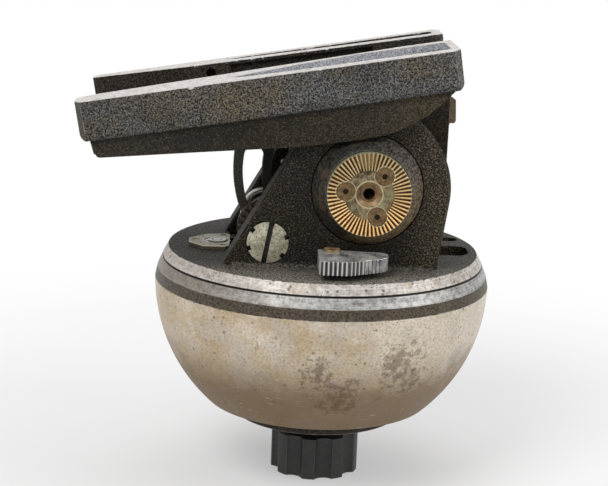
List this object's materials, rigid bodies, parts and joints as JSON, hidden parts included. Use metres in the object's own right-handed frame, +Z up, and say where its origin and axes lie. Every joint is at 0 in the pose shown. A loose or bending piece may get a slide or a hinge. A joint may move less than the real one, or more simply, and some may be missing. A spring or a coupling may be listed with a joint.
{
  "type": "fluid video head",
  "caption": "Fluid video head with a half ball base, panning deck, tilting drum between two cheeks, toothed brass rosettes and a long two-rail camera platform.",
  "frame": {"origin": "centre of the half ball that seats in the tripod's 150 mm bowl", "axes": "+Z up along the pan axis, +Y along the tilt axis to the far side, -X to the front of the platform"},
  "size_m": [0.1824, 0.15, 0.1994],
  "materials": {
    "black_paint": "crinkle, worn",
    "charcoal_paint": "crinkle, worn",
    "ball_metal": "polished, stained",
    "band_paint": "satin",
    "bright_aluminium": "turned",
    "steel": "satin",
    "brass": "satin, aged",
    "dark_bronze": "matte, aged",
    "chrome": "satin",
    "seal_rubber": "matte",
    "knob_plastic": "matte",
    "vial_glass": "clear"
  },
  "bodies": {
    "base": {"ball_shell": "ball_metal", "band_ring": "band_paint", "ball_top_ring": "bright_aluminium", "top_ring_screws": "steel", "pan_seal": "seal_rubber", "pan_spindle": "steel", "spindle_screws": "steel", "spindle_nut": "steel", "pan_drag_cup": "bright_aluminium", "tie_down_stud": "steel"},
    "tie_down_cup": {"clamp_cup": "bright_aluminium"},
    "tie_down_grip": {"tie_down_knob": "knob_plastic", "knob_insert": "brass"},
    "pan_unit": {"pan_casting": "black_paint", "spindle_cover": "black_paint", "lower_bearing": "steel", "upper_bearing": "steel", "pan_drag_rotor": "bright_aluminium", "rotor_screws": "steel", "level_frame": "bright_aluminium", "level_vial": "vial_glass", "level_screws": "steel", "pan_lock_shoe": "dark_bronze", "spring_cap_near": "bright_aluminium", "spring_cap_far": "bright_aluminium", "shaft_bushes": "brass", "spring_anchor": "dark_bronze", "counterbalance_spring": "steel", "tilt_bushes": "brass", "tilt_seals": "seal_rubber", "tilt_drag_housing": "bright_aluminium", "tilt_drag_cover": "bright_aluminium", "drag_cover_screws": "steel", "tilt_lock_shoe": "dark_bronze"},
    "pan_lock": {"pan_lock_lever": "chrome", "pan_lock_screw": "brass"},
    "tilt_lock": {"tilt_lock_lever": "dark_bronze", "tilt_lock_screw": "steel"},
    "tilt_unit": {"platform": "charcoal_paint", "saddle": "black_paint", "saddle_screws": "steel", "tilt_drum": "steel", "drum_end_near": "black_paint", "drum_end_far": "black_paint", "rosette_near": "brass", "rosette_far": "brass", "rosette_screws_near": "steel", "rosette_screws_far": "steel", "rosette_inserts": "steel", "stop_fork": "charcoal_paint", "fork_screws": "steel", "sector_gear": "steel", "sector_screws": "steel", "tilt_drag_rotor": "steel", "tilt_lock_disc": "steel"},
    "cross_shaft": {"counterbalance_shaft": "steel", "counterbalance_pinion": "dark_bronze"}
  },
  "joints": [
    {"name": "pan_turn", "type": "hinge", "parent": "base", "child": "pan_unit", "pos_m": [0, 0, 0], "axis": [0, 0, 1], "continuous": true},
    {"name": "tilt_turn", "type": "hinge", "parent": "pan_unit", "child": "tilt_unit", "pos_m": [0.016, 0, 0.0485], "axis": [0, 1, 0], "range_deg": [-32, 69]},
    {"name": "shaft_turn", "type": "hinge", "parent": "pan_unit", "child": "cross_shaft", "pos_m": [-0.02549, 0, 0.02436], "axis": [0, 1, 0], "range_deg": [-208, 97]},
    {"name": "pan_lock_turn", "type": "hinge", "parent": "pan_unit", "child": "pan_lock", "pos_m": [0.0017, -0.046, 0.02], "axis": [0, 0, 1], "range_deg": [-28, 0]},
    {"name": "tilt_lock_turn", "type": "hinge", "parent": "pan_unit", "child": "tilt_lock", "pos_m": [0.043, 0.049, 0.034], "axis": [0, 1, 0], "range_deg": [0, 40]},
    {"name": "tie_down_lift", "type": "slide", "parent": "base", "child": "tie_down_cup", "axis": [0, 0, 1], "range_m": [-0.00525, 0]},
    {"name": "tie_down_turn", "type": "hinge", "parent": "tie_down_cup", "child": "tie_down_grip", "pos_m": [0, 0, -0.08], "axis": [0, 0, 1], "range_deg": [-1080, 0]}
  ],
  "couplings": [
    {"joint": "shaft_turn", "follows": "tilt_turn", "ratio": -3},
    {"joint": "tie_down_turn", "follows": "tie_down_lift", "rad_per_m": 3590.4}
  ]
}
